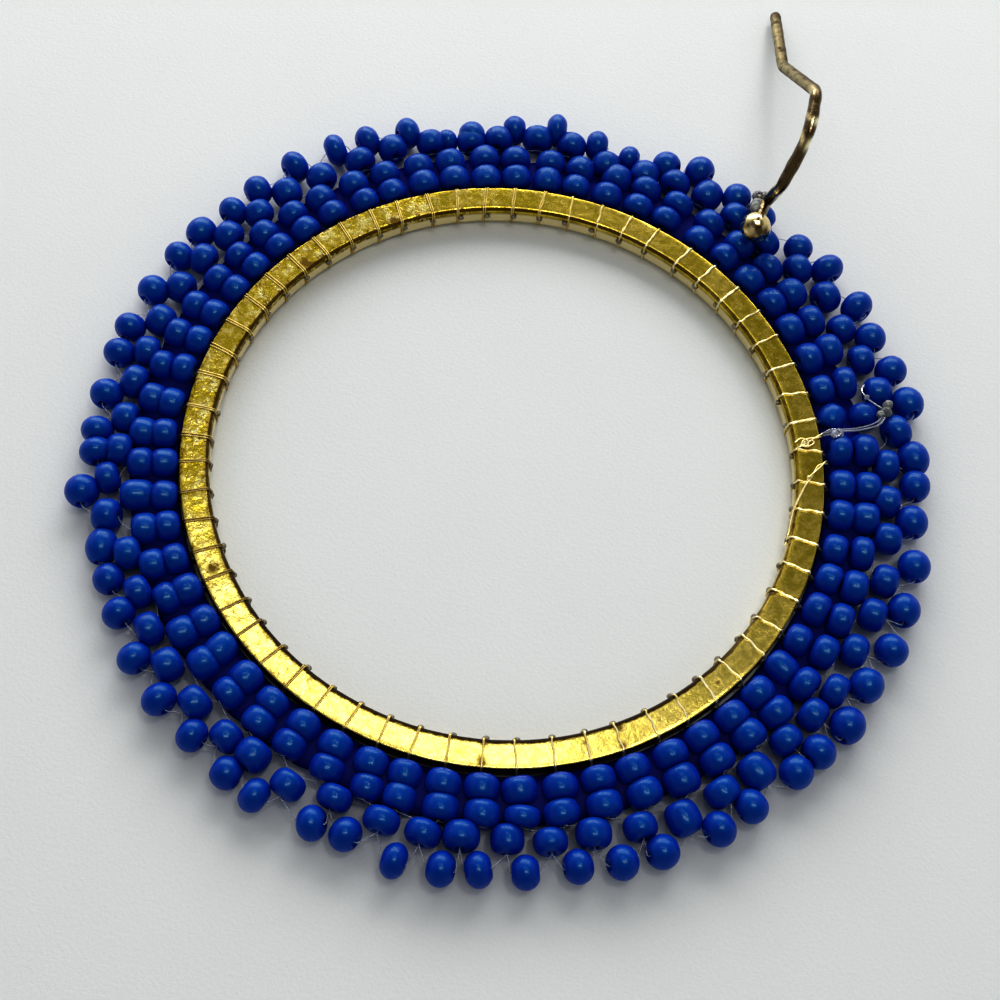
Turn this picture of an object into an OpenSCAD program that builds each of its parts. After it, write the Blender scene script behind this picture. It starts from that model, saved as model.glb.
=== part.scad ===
// Seed bead hoop earring, lying on its side as it rests by itself.
// A plated metal hoop carries three rows of blue seed beads stitched side by side, and an
// edging of single beads. A ball ended ear wire hangs on the edging's thread by its eye.
// Millimetres, +Z up. The earring rests on z = 0, with the ear wire towards +Y.

/* [Hoop] */
// Outside diameter of the metal hoop
hoop_d = 40; // [36:0.5:44]
// Width of the hoop's section, from its inside to its outside
hoop_w = 1.8; // [1.6:0.1:2]
// Height of the hoop's section above the surface it rests on
hoop_h = 1.55; // [1.4:0.05:2]
// Chamfer on the four edges of the hoop's section
hoop_edge = 0.2; // [0.1:0.05:0.3]

/* [Seed beads] */
// Diameter of a seed bead across its hole
bead_d = 2.1; // [1.9:0.05:2.2]
// Length of a seed bead along its hole
bead_l = 1.45; // [1.3:0.05:1.5]
// Number of stitched bead rows outside the hoop
rows = 3; // [2:1:4]
// Distance from one row to the next
row_pitch = 1.55; // [1.52:0.01:1.6]
// Room that the stitches take between the hoop and the first row
stitch_gap = 0.25; // [0.15:0.05:0.4]
// Thickness of the thread core that ties the rows into one band
core_h = 1.3; // [1:0.1:1.5]

/* [Edging] */
// Number of single beads along the edge
picots = 60; // [54:1:62]
// Distance from the last row to the edging beads' centres
picot_pitch = 1.62; // [1.6:0.01:1.7]
// Length of an edging bead along the edge
picot_l = 1.7; // [1.4:0.05:1.75]
// Diameter of the doubled thread that the edging beads hang on
thread_d = 0.3; // [0.2:0.05:0.35]
// Angle of the first edging bead, counted from +X
picot_start = 5; // [4:0.5:6]

/* [Ear wire] */
// Diameter of the ear wire
wire_d = 0.75; // [0.6:0.05:0.8]
// Sideways lean of the ear wire's arch from upright
hook_lean = 18; // [10:1:25]
// Turn of the ear wire's arch about the upright axis
hook_turn = -2; // [-6:1:4]
// Diameter of the ball at the front end of the ear wire
ball_d = 2; // [1.6:0.1:2.2]
// Angle of the ball's place round the hoop
ball_angle = 52.1; // [51.5:0.1:53.5]
// Angle of the foot's place round the hoop
foot_angle = 54.9; // [54.5:0.1:55.5]
// Diameter of the wire that the eye is bent from
eye_wire_d = 0.6; // [0.5:0.05:0.65]
// Middle diameter of the eye
eye_d = 1.8; // [1.75:0.05:1.85]

/* [Hidden] */

gold = "#a08a2c";
wire_gold = "#b5985a";
bead_blue = "#0b3fa8";

gap = 0.08;
round_parts = 96;
small_round = 48;

hoop_r = hoop_d / 2;
bead_r = bead_d / 2;
wire_r = wire_d / 2;
ball_r = ball_d / 2;
lap = 0.08;
swell = 0.02;
elbow_r = wire_r + 2 * swell;
solder_r = 0.5;

// The rows' middle radii, the outside of the band and the circles of the edging.
function row_r(i) = hoop_r + stitch_gap + bead_l / 2 + i * row_pitch;
picot_r = row_r(rows - 1) + picot_pitch;
picot_size = 0.96 * bead_r;
// The edging beads sit into the last row, so the band's outside stops short of them.
band_out = picot_r - picot_size - gap;
thread_r = picot_r + 0.13;
rim_r = picot_r + picot_size;

// The gap between two edging beads where the eye hangs is the one next to the foot.
eye_angle = picot_start + (floor((foot_angle - picot_start) / (360 / picots)) + 0.5) * 360 / picots;
eye_r = band_out + gap + (eye_d + eye_wire_d) / 2;
eye_z = bead_r + 0.2;

ball_place_r = band_out - 1.3;
ball_z = bead_d + gap + ball_r;
foot_r = eye_r - 0.12;
foot_z = eye_z + eye_d / 2 + 0.2;

// The ear wire's bends from its foot to its tip, as it would be bent from a straight length:
// each row holds a straight stretch, then a bend, to the outside when positive, and its radius.
STRAIGHT = 0;
BEND = 1;
RADIUS = 2;
HOOK = [
    [1.6, 33, 1.6],
    [1.7, 50, 3.4],
    [1.3, 48, 1.2],
    [7.4, -22, 1.5],
];
tail_l = 6.6;

// Where a stretch and its bend end, seen from their start: [to the outside, forwards].
function bend_end(s) = [
    sign(s[BEND]) * s[RADIUS] * (1 - cos(s[BEND])),
    s[STRAIGHT] + s[RADIUS] * sin(abs(s[BEND])),
];
// Place and heading after i bends, in the plane of the arch: [outwards, upwards, heading].
function hook_at(i) = i == 0 ? [0, 0, 90] :
    let (p = hook_at(i - 1), e = bend_end(HOOK[i - 1]), h = p[2])
    [p[0] + e[0] * sin(h) + e[1] * cos(h), p[1] - e[0] * cos(h) + e[1] * sin(h), h - HOOK[i - 1][BEND]];
hook_end = hook_at(len(HOOK));
tip_out = hook_end[0] + tail_l * cos(hook_end[2]);
tip_up = hook_end[1] + tail_l * sin(hook_end[2]);

function around(r, a, z) = [r * cos(a), r * sin(a), z];
foot = around(foot_r, foot_angle, foot_z);
ball_place = around(ball_place_r, ball_angle, ball_z);
eye_top = around(eye_r, eye_angle, eye_z + eye_d / 2);

// The leaning arch carries its plane sideways by lean_out for each millimetre upwards.
lean_out = sin(hook_lean);
tip_y = foot[1] + tip_out * cos(hook_turn) + tip_up * lean_out * sin(hook_turn);
mid_y = (tip_y + wire_r - rim_r) / 2;

// Everything is drawn round the hoop's axis and moved so that the box's middle is the origin.
module placed() {
    translate([0, -mid_y, 0]) children();
}

// The section of a chamfered bar, from its inside to its outside.
module hoop_section() {
    e = hoop_edge;
    translate([hoop_r - hoop_w, 0]) polygon([
        [e, 0], [hoop_w - e, 0], [hoop_w, e], [hoop_w, hoop_h - e],
        [hoop_w - e, hoop_h], [e, hoop_h], [0, hoop_h - e], [0, e],
    ]);
}

module hoop() {
    color(gold) placed() rotate_extrude($fn = round_parts) hoop_section();
}

// A bead seen from its side: round across the hole, with flat ends.
module bead_section() {
    intersection() {
        circle(bead_r, $fn = small_round);
        square([bead_l, bead_d], center = true);
    }
}

module bead_band() {
    color(bead_blue) placed() rotate_extrude($fn = round_parts) translate([0, bead_r]) intersection() {
        union() {
            for (i = [0:rows - 1]) translate([row_r(i), 0]) bead_section();
            translate([row_r(0), -core_h / 2]) square([row_r(rows - 1) - row_r(0), core_h]);
        }
        translate([hoop_r, -bead_r]) square([band_out - hoop_r, bead_d]);
    }
}

// One edging bead: its hole runs along the edge, and its two ends are flat.
module picot() {
    intersection() {
        sphere(picot_size, $fn = small_round);
        cube([bead_d, picot_l, bead_d], center = true);
    }
}

module picot_edge() {
    color(bead_blue) placed() translate([0, 0, bead_r]) {
        for (i = [0:picots - 1]) rotate([0, 0, picot_start + i * 360 / picots])
            translate([picot_r, 0, 0]) picot();
        rotate_extrude($fn = round_parts) translate([thread_r, 0]) circle(thread_d / 2, $fn = small_round);
    }
}

// A straight stretch along +Y that reaches a little way into the bends at its two ends.
module stretch(l) {
    translate([0, -lap, 0]) rotate([-90, 0, 0]) cylinder(h = l + 2 * lap, r = wire_r, $fn = small_round);
}

// The straight tail along +Y, which ends in a dome.
module tail() {
    rotate([-90, 0, 0]) rotate_extrude($fn = small_round) intersection() {
        union() {
            translate([0, tail_l - wire_r]) circle(wire_r, $fn = small_round);
            translate([0, -lap]) square([wire_r, tail_l - wire_r + lap]);
        }
        translate([0, -lap]) square([wire_r, tail_l + lap]);
    }
}

// Wire along +Y, bent step by step as the rows say, with the straight tail after the last bend.
// A bend is a hair thicker than the stretches that run into it.
module bent_wire(bends, i = 0) {
    if (i == len(bends)) tail();
    else {
        s = bends[i];
        side = sign(s[BEND]);
        e = bend_end(s);
        stretch(s[STRAIGHT]);
        translate([side * s[RADIUS], s[STRAIGHT], 0]) rotate([0, 0, side > 0 ? 180 - s[BEND] : 0])
            rotate_extrude(angle = abs(s[BEND]), $fn = round_parts)
                translate([s[RADIUS], 0]) circle(wire_r + swell, $fn = small_round);
        translate([e[0], e[1], 0]) rotate([0, 0, -s[BEND]]) bent_wire(bends, i + 1);
    }
}

// A straight piece of wire from p to q.
module rod(p, q, r) {
    d = q - p;
    translate(p) rotate([0, acos(d[2] / norm(d)), atan2(d[1], d[0])])
        cylinder(h = norm(d), r = r, $fn = small_round);
}

module ear_wire() {
    color(wire_gold) placed() {
        translate(foot) {
            sphere(elbow_r, $fn = small_round);
            rotate([0, 0, hook_turn]) rotate([0, hook_lean, 0]) rotate([90, 0, 90])
                bent_wire(HOOK);
        }
        rod(ball_place, foot, wire_r);
        translate(ball_place) sphere(ball_r, $fn = small_round);
        translate((foot + eye_top) / 2) sphere(solder_r, $fn = small_round);
        rotate([0, 0, eye_angle]) translate([eye_r, 0, eye_z]) rotate([90, 0, 0])
            rotate_extrude($fn = small_round) translate([eye_d / 2, 0])
                circle(eye_wire_d / 2, $fn = small_round);
    }
}

hoop();
bead_band();
picot_edge();
ear_wire();
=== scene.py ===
"""Seed bead hoop earring, lying on its side on a pale floor.

A plated hoop is wrapped by clear thread at sixty stitches. The stitches carry three rows of
blue seed beads and an edging of single beads. A ball ended ear wire hangs on the edging by
its eye. Sizes are in millimetres, counted from the hoop's axis on the floor, and each piece
is moved to the frame's own origin, in metres, as its mesh is made.
"""
import logging
import math
from dataclasses import dataclass, field
from enum import Enum
from typing import Any, Optional, Union

import bpy
import numpy as np
from mathutils import Matrix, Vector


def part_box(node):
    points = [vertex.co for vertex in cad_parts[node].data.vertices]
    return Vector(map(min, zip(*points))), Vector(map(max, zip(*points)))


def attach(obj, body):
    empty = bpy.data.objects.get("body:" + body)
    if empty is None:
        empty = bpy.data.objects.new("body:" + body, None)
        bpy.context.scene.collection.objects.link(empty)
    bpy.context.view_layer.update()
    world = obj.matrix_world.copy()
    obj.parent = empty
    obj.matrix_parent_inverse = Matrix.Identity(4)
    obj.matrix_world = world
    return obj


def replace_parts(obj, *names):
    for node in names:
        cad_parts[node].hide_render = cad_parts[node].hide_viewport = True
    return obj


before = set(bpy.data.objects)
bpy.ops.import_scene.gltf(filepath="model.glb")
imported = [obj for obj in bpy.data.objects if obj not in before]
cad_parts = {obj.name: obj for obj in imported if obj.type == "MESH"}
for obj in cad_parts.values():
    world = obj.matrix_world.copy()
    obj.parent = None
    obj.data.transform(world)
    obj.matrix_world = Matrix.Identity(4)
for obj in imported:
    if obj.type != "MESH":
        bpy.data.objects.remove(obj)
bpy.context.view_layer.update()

MM = 0.001
TURN = 2.0 * math.pi
COLUMNS = 60
PITCH = 360.0 / COLUMNS
UP = np.array([0.0, 0.0, 1.0])

Colour = tuple[float, float, float]
Place = tuple[float, float, float]  # a radius, an angle in degrees and a height
log = logging.getLogger("earring")


class Slot(Enum):
    """The record's material slots by name; a piece given one rides on the part's body, with its own material.
    """

    HOOP = "hoop_metal"
    BEAD = "seed_bead"
    WIRE = "wire_metal"
    THREAD = "thread"
    GLUE = "glue"


class Closing(Enum):
    """How a swept strand ends: joined to its own start, or with a small flat cap."""

    RING = "ring"
    CAPS = "caps"


# Shader building


@dataclass(frozen=True)
class Signal:
    """A socket used in Python arithmetic: each operation adds its Math node."""

    shader: "Shader"
    socket: bpy.types.NodeSocket

    def _math(self, operation: str, first: Any, second: Any, clamp: bool = False) -> "Signal":
        """Adds one Math node.

        Args:
            operation: the node's operation.
            first, second: each a Signal or a number.
            clamp: whether the result is kept within 0 and 1.

        Returns:
            The node's value.
        """
        settings = {"operation": operation, "use_clamp": clamp}
        return self.shader.node("ShaderNodeMath", settings, {0: first, 1: second})["Value"]

    def __add__(self, other: Any) -> "Signal":
        """This plus other."""
        return self._math("ADD", self, other)

    __radd__ = __add__

    def __mul__(self, other: Any) -> "Signal":
        """This times other."""
        return self._math("MULTIPLY", self, other)

    __rmul__ = __mul__

    def __sub__(self, other: Any) -> "Signal":
        """This minus other."""
        return self._math("SUBTRACT", self, other)

    def __rsub__(self, other: Any) -> "Signal":
        """Other minus this."""
        return self._math("SUBTRACT", other, self)

    def larger(self, other: Any) -> "Signal":
        """The larger of this and other."""
        return self._math("MAXIMUM", self, other)

    def unit(self) -> "Signal":
        """This kept within 0 and 1."""
        return self._math("ADD", self, 0.0, clamp=True)

    def step(self, low: float, high: float) -> "Signal":
        """0 below low and 1 above high, with a soft step between them; high may be the lower one.

        Args:
            low: the value from which it rises.
            high: the value at which it is full.

        Returns:
            The share from 0 to 1.
        """
        settings = {"interpolation_type": "SMOOTHSTEP"}
        values = {"Value": self, "From Min": min(low, high), "From Max": max(low, high)}
        rising = self.shader.node("ShaderNodeMapRange", settings, values)["Result"]
        return rising if high >= low else 1.0 - rising


@dataclass(frozen=True)
class Outputs:
    """A node's outputs by name, each as a Signal."""

    shader: "Shader"
    node: bpy.types.Node

    def __getitem__(self, name: Union[str, int]) -> Signal:
        """The output of that name or number."""
        return Signal(self.shader, self.node.outputs[name])


class Shader:
    """One material's node tree, written as expressions."""

    def __init__(self, name: str, tree: Optional[bpy.types.NodeTree] = None) -> None:
        """Starts an empty tree: the one given, or that of a new material of that name.

        Args:
            name: a new material's name.
            tree: a tree to fill in place of a new material's.
        """
        if tree is None:
            self.material = bpy.data.materials.new(name)
            self.material.use_nodes = True
            tree = self.material.node_tree
        self.tree = tree
        self.tree.nodes.clear()

    def node(self, kind: str, settings: Optional[dict[str, Any]] = None,
             values: Optional[dict[Union[str, int], Any]] = None) -> Outputs:
        """Adds one node of any type.

        Args:
            kind: the node's type.
            settings: what is set on the node first.
            values: for each socket, by name or number, a Signal to link or a value to set.

        Returns:
            The node's outputs.
        """
        made = self.tree.nodes.new(kind)
        for key, value in (settings or {}).items():
            setattr(made, key, value)
        for key, value in (values or {}).items():
            if isinstance(value, Signal):
                self.tree.links.new(value.socket, made.inputs[key])
            else:
                made.inputs[key].default_value = value
        return Outputs(self, made)

    def place(self) -> Signal:
        """The point on the object, in metres."""
        return self.node("ShaderNodeTexCoord")["Object"]

    def axis(self, name: str) -> Signal:
        """The point's place along one of the frame's axes, in metres."""
        return self.node("ShaderNodeSeparateXYZ", {}, {"Vector": self.place()})[name]

    def tone(self, name: str) -> Signal:
        """A number that the mesh carries on its points."""
        return self.node("ShaderNodeAttribute", {"attribute_name": name})["Fac"]

    def noise(self, size_mm: float, detail: float = 2.0, roughness: float = 0.5) -> Signal:
        """Soft noise from 0 to 1.

        Args:
            size_mm: the size of its lumps.
            detail: how many finer layers it has.
            roughness: how strong the finer layers are.

        Returns:
            The noise.
        """
        values = {"Vector": self.place(), "Scale": 1.0 / (size_mm * MM), "Detail": detail}
        return self.node("ShaderNodeTexNoise", {}, {**values, "Roughness": roughness})["Fac"]

    def blend(self, share: Signal, first: Any, second: Any) -> Signal:
        """A colour between first, at share 0, and second, at share 1."""
        ends = [colour if isinstance(colour, Signal) else (*colour, 1.0) for colour in (first, second)]
        return self.node("ShaderNodeMix", {"data_type": "RGBA"}, {0: share, 6: ends[0], 7: ends[1]})[2]

    def bump(self, height: Signal, depth_mm: float, strength: float = 1.0) -> Signal:
        """A normal from a height of 0 to 1 that stands depth_mm high."""
        values = {"Height": height, "Distance": depth_mm * MM, "Strength": strength}
        return self.node("ShaderNodeBump", {}, values)["Normal"]

    def finish(self, **values: Any) -> bpy.types.Material:
        """Ends the tree with a Principled shader.

        Args:
            values: its sockets, with _ for a space in their names.

        Returns:
            The material.
        """
        named = {key.replace("_", " "): value for key, value in values.items()}
        surface = self.node("ShaderNodeBsdfPrincipled", {}, named)["BSDF"]
        self.node("ShaderNodeOutputMaterial", {}, {"Surface": surface})
        return self.material


# Finishes


@dataclass(frozen=True)
class PlatedGold:
    """The hoop's worn plating: yellow gold with pits, flakes and brown stains.

    Attributes:
        gold, olive, pale, wall: where it is thick, thin and flaked, and the inner wall; pale is also a
            painted highlight on the near part, and the wall is pale as a painted reflection of the lit floor.
        stain, black: the colour of the real stains and of the painted shade on the roundings and walls, and
            the darkest painted shade, on the near inner rounding.
        near: where along Y, in metres, the near part begins and where it is full; its top is painted paler,
            as a highlight, and its rounding and inner wall are painted darker, as shade.
        left, right: where along X the flaked part begins and is full, and where the painted shade on the
            inner rounding is full and where it has thinned, towards the right.
        roughness: that of the clean plating.
    """

    gold: Colour = (0.78, 0.59, 0.13)
    olive: Colour = (0.47, 0.355, 0.030)
    pale: Colour = (0.97, 0.87, 0.37)
    wall: Colour = (1.0, 0.86, 0.50)
    stain_and_shade: Colour = (0.050, 0.022, 0.006)
    painted_black_shade: Colour = (0.006, 0.003, 0.002)
    near: tuple[float, float] = (-0.010, -0.020)
    left: tuple[float, float] = (0.006, -0.014)
    right: tuple[float, float] = (0.024, 0.004)
    roughness: float = 0.13

    def material(self) -> bpy.types.Material:
        """The plating's material, most flaked on the hoop's far left.

        The rounding above the inner wall and the outer wall are painted very dark, as shade. The
        inner wall is painted pale, as a reflection of the lit floor, and painted dark, as shade, on the
        near half. The near part of the top is painted paler, as a highlight.

        Returns:
            The material.
        """
        s = Shader("plated_gold")
        x, panel, inside = s.axis("X"), s.tone("panel"), s.tone("inside")
        near = s.axis("Y").step(*self.near)
        left = x.step(*self.left) * (1.0 - near * 0.65) * (0.45 + panel * 0.75)
        mottle, flake, speckle = s.noise(0.55, 4.0, 0.65), s.noise(0.58, 3.0, 0.62), s.noise(0.12, 2.0, 0.6)
        # The marks are veins, where a noise crosses its middle, blotches, pits, worn edges and
        # brown spots.
        off = s.noise(0.75, 4.0, 0.6) - 0.5
        vein = (off * off).step(0.0011, 0.0) * (0.3 + left * 0.7)
        blotch = s.noise(0.5, 4.0, 0.65).step(0.56, 0.66)
        pits = speckle.step(0.55, 0.62) * flake.step(0.52, 0.58) * (0.15 + left * 0.45)
        worn = s.tone("edge") * (0.3 + left * 0.3) * s.noise(1.1, 3.0, 0.6).step(0.36, 0.56)
        brown = (s.tone("brown") * 1.6 - speckle * 0.7).unit()
        marks = worn + blotch * (0.22 + left * 0.3) + vein * 0.75 + pits * 0.6 + brown
        # Painted shade, very dark, lies on the inner rounding, more on the near part and less on the right,
        # on the outer wall and on the near inner wall; it is added to the real marks.
        rim = (s.tone("inner") + near * 0.30 + mottle * 0.3 - 0.15).step(0.78, 0.94)
        rim = rim * x.step(*self.right).larger(0.55).larger(near)
        dark = rim + s.tone("outer") + inside * near * 0.85
        stains_and_painted_shade = (marks * (1.0 - inside * 0.9) + dark).unit()
        # The plating's own shade differs from one stitch to the next, and the near part is painted more
        # golden and paler, as a highlight.
        share = panel * 0.35 + mottle.step(0.42, 0.60) * 0.6 + near * 0.35
        colour = s.blend((share - flake.step(0.50, 0.42) * left * 0.7).unit(), self.olive, self.gold)
        colour = s.blend((flake.step(0.55, 0.63) * left * 0.75 + near * 0.15).unit(), colour, self.pale)
        # The inner wall is painted pale, as a reflection of the lit floor.
        colour = s.blend(inside, colour, self.wall)
        # The real stains and the painted shade share one colour, and the near inner rounding is painted
        # darkest, as shade.
        colour = s.blend(stains_and_painted_shade * 0.92, colour, self.stain_and_shade)
        colour = s.blend(rim * near * 0.9, colour, self.painted_black_shade)
        height = s.noise(1.2, 3.0, 0.6) * 0.5 + flake * (0.35 + left * 1.3) + speckle * 0.07
        rough = self.roughness + stains_and_painted_shade * 0.25 + speckle * 0.06 + left * 0.05
        return s.finish(Base_Color=colour, Metallic=1.0, Roughness=rough, Normal=s.bump(height, 0.04, 0.8))


@dataclass(frozen=True)
class CobaltGlass:
    """The seed beads' opaque blue glass: satin, with a slightly uneven melt."""

    deep: Colour = (0.0, 0.019, 0.305)
    bright: Colour = (0.0, 0.038, 0.35)
    roughness: float = 0.40

    def material(self) -> bpy.types.Material:
        """The glass's material: a soft bluish sheen with a thin sharper gloss over it.

        Returns:
            The material.
        """
        s = Shader("cobalt_glass")
        melt = s.noise(0.8, 2.0, 0.5)
        share = (s.tone("tone") * 0.6 + melt * 0.4).unit()
        colour = s.blend(share, self.deep, self.bright)
        rough = self.roughness + s.noise(0.35, 2.0, 0.5) * 0.12
        return s.finish(Base_Color=colour, Roughness=rough, Normal=s.bump(melt, 0.06, 0.8), IOR=1.6,
                        Specular_IOR_Level=0.32, Specular_Tint=(0.0, 0.68, 0.55, 1.0),
                        Subsurface_Weight=0.5, Subsurface_Scale=1.0 * MM, Subsurface_Radius=(0.1, 0.3, 1.0),
                        Coat_Weight=0.20, Coat_Roughness=0.15)


@dataclass(frozen=True)
class ClearNylon:
    """Clear nylon thread: mostly see-through, with bright edges."""

    tint: Colour = (0.76, 0.78, 0.85)
    shade: Colour = (0.52, 0.54, 0.63)

    def material(self) -> bpy.types.Material:
        """The thread's material."""
        s = Shader("clear_nylon")
        return s.finish(Base_Color=s.blend(s.noise(0.8), self.tint, self.shade), Roughness=0.25,
                        IOR=1.40, Transmission_Weight=0.6)


@dataclass(frozen=True)
class GoldenNylon:
    """The same thread where it lies on the hoop, painted in the plating's colour as the plating seen through
    it.
    """

    pale: Colour = (0.80, 0.71, 0.43)
    gold: Colour = (0.62, 0.46, 0.13)
    brown: Colour = (0.09, 0.055, 0.012)

    def material(self) -> bpy.types.Material:
        """The thread's material, which is partly metallic to match the plating that shines through.

        It reads how pale each point is painted, as a highlight, and how brown it is painted, as shade.

        Returns:
            The material.
        """
        s = Shader("golden_nylon")
        # The pale share is a painted highlight.
        share = s.tone("pale") * s.noise(0.4, 2.0).step(0.66, 0.50)
        # The brown is painted shade on the wraps.
        colour = s.blend(s.tone("brown"), s.blend(share, self.gold, self.pale), self.brown)
        return s.finish(Base_Color=colour, Roughness=0.28, IOR=1.5, Metallic=0.75)


@dataclass(frozen=True)
class ShadedNylon:
    """The same thread deep between the beads, painted dark blue as the shade there."""

    blue: Colour = (0.0, 0.007, 0.26)
    deep: Colour = (0.0, 0.004, 0.12)

    def material(self) -> bpy.types.Material:
        """The thread's material."""
        s = Shader("shaded_nylon")
        return s.finish(Base_Color=s.blend(s.noise(0.5), self.blue, self.deep), Roughness=0.6,
                        Specular_IOR_Level=0.1)


@dataclass(frozen=True)
class ClearGlue:
    """Hardened drops of clear glue on the knots, slightly grey."""

    tint: Colour = (0.44, 0.45, 0.43)
    shade: Colour = (0.22, 0.23, 0.23)

    def material(self) -> bpy.types.Material:
        """The glue's material.

        Returns:
            The material.
        """
        s = Shader("clear_glue")
        lumps = s.noise(0.4, 3.0)
        colour = s.blend(lumps, self.tint, self.shade)
        return s.finish(Base_Color=colour, Roughness=0.3, IOR=1.47, Transmission_Weight=0.35,
                        Normal=s.bump(lumps, 0.05, 0.7))


@dataclass(frozen=True)
class WireBrass:
    """The ear wire's polished brass: dull and blotched towards its tail, with painted shade along its sides
    and over its arch, and painted glints.
    """

    brass: Colour = (0.88, 0.70, 0.36)
    dull: Colour = (0.175, 0.158, 0.082)
    tarnish_and_shade: Colour = (0.035, 0.018, 0.010)
    pale: Colour = (1.0, 0.93, 0.68)
    roughness: float = 0.10

    def material(self) -> bpy.types.Material:
        """The wire's material, which reads how far along the wire a point is, how dark it is (mostly painted
        shade on its sides and arch, and painted reflections on the ball), and where it is painted pale, as
        glints.

        Returns:
            The material.
        """
        s = Shader("wire_brass")
        worn = s.tone("tone").step(0.35, 0.41)
        blotch = s.noise(0.45, 4.0, 0.6)
        spots = blotch.step(0.50, 0.66)
        # The dark tone is painted shade on the wire's sides and arch and painted dark reflections on the
        # ball; it also darkens the wire's ends and the stem.
        dark = (s.tone("dark") * (0.75 + blotch * 0.6)).unit()
        colour = s.blend(worn * (0.55 + blotch * 0.5), self.brass, self.dull)
        colour = s.blend((spots * (0.12 + worn * 0.40) + dark).unit() * 0.92, colour, self.tarnish_and_shade)
        # Painted highlights: the glints on the arch are painted pale.
        rubbed = s.tone("rubbed")
        colour = s.blend(rubbed, colour, self.pale)
        rough = self.roughness + worn * 0.34 + spots * 0.10 + dark * 0.12 + rubbed * 0.18
        dents = s.noise(1.1, 2.0, 0.5) * (1.0 - worn * 0.7) + blotch * 0.25
        return s.finish(Base_Color=colour, Metallic=1.0, Roughness=rough, Normal=s.bump(dents, 0.11, 0.8))


@dataclass(frozen=True)
class GreySteel:
    """The dull grey metal of the eye and of the wire's cut end."""

    grey: Colour = (0.30, 0.29, 0.29)
    dark: Colour = (0.06, 0.06, 0.07)

    def material(self) -> bpy.types.Material:
        """The grey metal's material.

        Returns:
            The material.
        """
        s = Shader("grey_steel")
        blotch = s.noise(0.3, 3.0, 0.6)
        colour = s.blend(blotch.step(0.40, 0.62), self.grey, self.dark)
        return s.finish(Base_Color=colour, Metallic=0.9, Roughness=0.38, Normal=s.bump(blotch, 0.04, 0.8))


@dataclass(frozen=True)
class PaleFloor:
    """The plain pale surface that the earring lies on, with a very fine grain."""

    pale: Colour = (0.80, 0.811, 0.80)
    shade: float = 0.88

    def material(self) -> bpy.types.Material:
        """The floor's material.

        Returns:
            The material.
        """
        s = Shader("pale_floor")
        grain = s.noise(0.22, 3.0, 0.7)
        cloud = s.noise(9.0, 2.0)
        colour = s.blend(grain * 0.7 + cloud * 0.3, tuple(self.shade * c for c in self.pale), self.pale)
        return s.finish(Base_Color=colour, Roughness=0.6, Normal=s.bump(grain, 0.05, 0.45))


# Surfaces


@dataclass
class Surface:
    """One piece: points as (n, 3), blocks of faces as (m, corners), and what the material reads.

    The points are in millimetres from the hoop's axis on the floor. The tones are numbers by
    name, one for each point.
    """

    points: np.ndarray
    faces: list[np.ndarray]
    tones: dict[str, np.ndarray] = field(default_factory=dict)

    def volume(self) -> float:
        """The volume within the faces, which is below zero if they point inwards.

        It is a sixth of the sum of the triple products of the corners of all triangles.

        Returns:
            The volume in cubic millimetres.
        """
        total = 0.0
        for block in self.faces:
            first = self.points[block[:, 0]]
            for i in range(1, block.shape[1] - 1):
                second, third = self.points[block[:, i]], self.points[block[:, i + 1]]
                total += float(np.einsum("ij,ij->", first, np.cross(second, third))) / 6.0
        return total

    def outward(self) -> "Surface":
        """The same surface with its faces pointing outwards."""
        if self.volume() < 0.0:
            self.faces = [block[:, ::-1] for block in self.faces]
        return self

    def toned(self, **tones: Any) -> "Surface":
        """The same surface with more numbers on its points.

        Args:
            tones: by name, one number for all points, or one for each of their equal runs.

        Returns:
            This surface.
        """
        for name, values in tones.items():
            runs = np.asarray(values, float).reshape(-1)
            self.tones[name] = np.repeat(runs, len(self.points) // len(runs))
        return self


def joined(parts: list[Surface]) -> Surface:
    """Several surfaces as one.

    Args:
        parts: the surfaces.

    Returns:
        The one surface, where a tone that a part lacks is 0.
    """
    starts = np.cumsum([0] + [len(part.points) for part in parts[:-1]])
    faces = [block + start for part, start in zip(parts, starts) for block in part.faces]
    names = set().union(*(part.tones for part in parts))
    tones = {name: np.concatenate([part.tones.get(name, np.zeros(len(part.points))) for part in parts])
             for name in names}
    return Surface(np.concatenate([part.points for part in parts]), faces, tones)


def grid_faces(copies: int, rows: int, cols: int, ring_rows: bool) -> np.ndarray:
    """Corner numbers of the quads of some equal grids whose columns close on themselves.

    Args:
        copies: how many grids there are.
        rows: rows of points in a grid.
        cols: columns of points in a grid, the last of which meets the first.
        ring_rows: whether the last row meets the first too.

    Returns:
        An array of (quads, 4).
    """
    last = rows if ring_rows else rows - 1
    grid, row, col = np.meshgrid(np.arange(copies), np.arange(last), np.arange(cols), indexing="ij")
    quads = [(grid * rows + (row + down) % rows) * cols + (col + right) % cols
             for down, right in ((0, 0), (0, 1), (1, 1), (1, 0))]
    return np.stack(quads, -1).reshape(-1, 4)


def unit(vectors: np.ndarray) -> np.ndarray:
    """Vectors at length 1."""
    return vectors / np.maximum(np.linalg.norm(vectors, axis=-1, keepdims=True), 1e-9)


def bell(distance: np.ndarray, reach: float, power: float = 2.0) -> np.ndarray:
    """A bell curve: 1 at no distance and 1 / e at reach, with a flatter top for a higher power."""
    return np.exp(-np.abs(distance / reach) ** power)


def bell_of(offsets: np.ndarray, reach: float) -> np.ndarray:
    """A bell curve of the offsets' lengths."""
    return bell(np.linalg.norm(offsets, axis=-1), reach)


def ramp(values: np.ndarray, low: float, high: float) -> np.ndarray:
    """0 up to low and 1 from high on, with a straight rise between; high may be the lower one."""
    return np.clip((values - low) / (high - low), 0.0, 1.0)


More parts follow.
